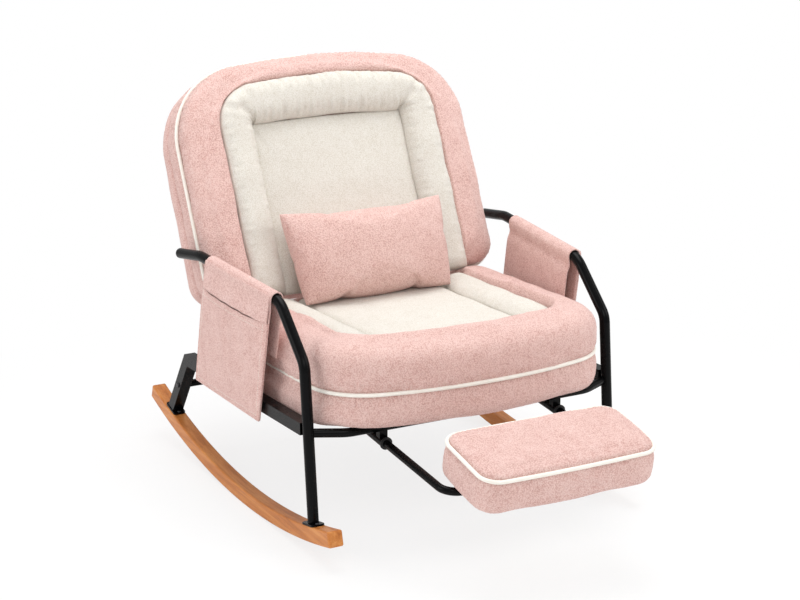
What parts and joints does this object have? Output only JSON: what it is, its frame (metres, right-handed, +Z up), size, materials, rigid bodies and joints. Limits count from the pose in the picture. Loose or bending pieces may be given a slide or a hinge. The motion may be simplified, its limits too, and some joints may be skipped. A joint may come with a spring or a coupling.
{
  "type": "rocking armchair",
  "caption": "Padded rocking armchair on curved wooden runners, with a reclining back, a pull-out footrest, a lumbar pillow and side pockets.",
  "frame": {"origin": "centre of the footprint box, on the floor, with the footrest out", "axes": "+Z up, -Y to the front where the sitter faces, +X to the sitter's left"},
  "size_m": [0.7932, 1.2092, 0.8583],
  "materials": {
    "rocker_wood": "satin lacquer",
    "black_steel": "satin powder coat",
    "zinc_steel": "zinc plated",
    "black_plastic": "matte",
    "webbing": "woven elastic",
    "pink_fabric": "looped plush",
    "cream_fabric": "looped plush",
    "ivory_piping": "corded piping",
    "plywood": "raw"
  },
  "bodies": {
    "base": {"arm_caps": "black_plastic", "frame_bolts": "zinc_steel", "front_seat_tube": "black_steel", "guide_bushes": "black_plastic", "guide_hangers": "black_steel", "left_arm_sleeve": "pink_fabric", "left_arm_tube": "black_steel", "left_footrest_guide": "black_steel", "left_front_foot_plate": "black_steel", "left_hinge_pin": "zinc_steel", "left_hinge_plate": "black_steel", "left_rear_foot_plate": "black_steel", "left_rear_leg": "black_steel", "left_rocker": "rocker_wood", "left_seat_roll": "cream_fabric", "left_side_pocket": "pink_fabric", "left_side_rail": "black_steel", "mid_seat_tube": "black_steel", "rear_cross_brace": "black_steel", "rear_seat_tube": "black_steel", "right_arm_sleeve": "pink_fabric", "right_arm_tube": "black_steel", "right_footrest_guide": "black_steel", "right_front_foot_plate": "black_steel", "right_hinge_pin": "zinc_steel", "right_hinge_plate": "black_steel", "right_rear_foot_plate": "black_steel", "right_rear_leg": "black_steel", "right_rocker": "rocker_wood", "right_seat_roll": "cream_fabric", "right_side_pocket": "pink_fabric", "right_side_rail": "black_steel", "rocker_screws": "zinc_steel", "seat_cushion": "pink_fabric", "seat_panel": "cream_fabric", "seat_piping": "ivory_piping", "seat_straps": "webbing"},
    "backrest": {"back_bolster": "cream_fabric", "back_cover": "pink_fabric", "back_cushion": "pink_fabric", "back_low_tube": "black_steel", "back_panel": "cream_fabric", "back_piping": "ivory_piping", "back_straps": "webbing", "back_top_tube": "black_steel", "left_back_upright": "black_steel", "left_hinge_arm": "black_steel", "right_back_upright": "black_steel", "right_hinge_arm": "black_steel"},
    "footrest": {"footrest_bar": "black_steel", "footrest_plugs": "black_plastic", "left_footrest_leg": "black_steel", "right_footrest_leg": "black_steel"},
    "footrest_pad": {"clamp_screws": "zinc_steel", "footrest_board": "plywood", "footrest_cushion": "pink_fabric", "footrest_piping": "ivory_piping", "left_pad_clamp": "black_steel", "right_pad_clamp": "black_steel"},
    "pillow": {"lumbar_pillow": "pink_fabric"}
  },
  "joints": [
    {"name": "recline", "type": "hinge", "parent": "base", "child": "backrest", "pos_m": [0, 0.31535, 0.23113], "axis": [-1, 0, 0], "range_deg": [0, 28]},
    {"name": "footrest_slide", "type": "slide", "parent": "base", "child": "footrest", "axis": [0, 0.996, 0.0898], "range_m": [0, 0.085]},
    {"name": "pad_turn", "type": "hinge", "parent": "footrest", "child": "footrest_pad", "pos_m": [0, -0.47265, 0.19115], "axis": [1, 0, 0], "range_deg": [0, 172]},
    {"name": "pillow_lift", "type": "slide", "parent": "backrest", "child": "pillow", "axis": [0, -0.8988, 0.4384], "range_m": [0, 0.2]}
  ]
}
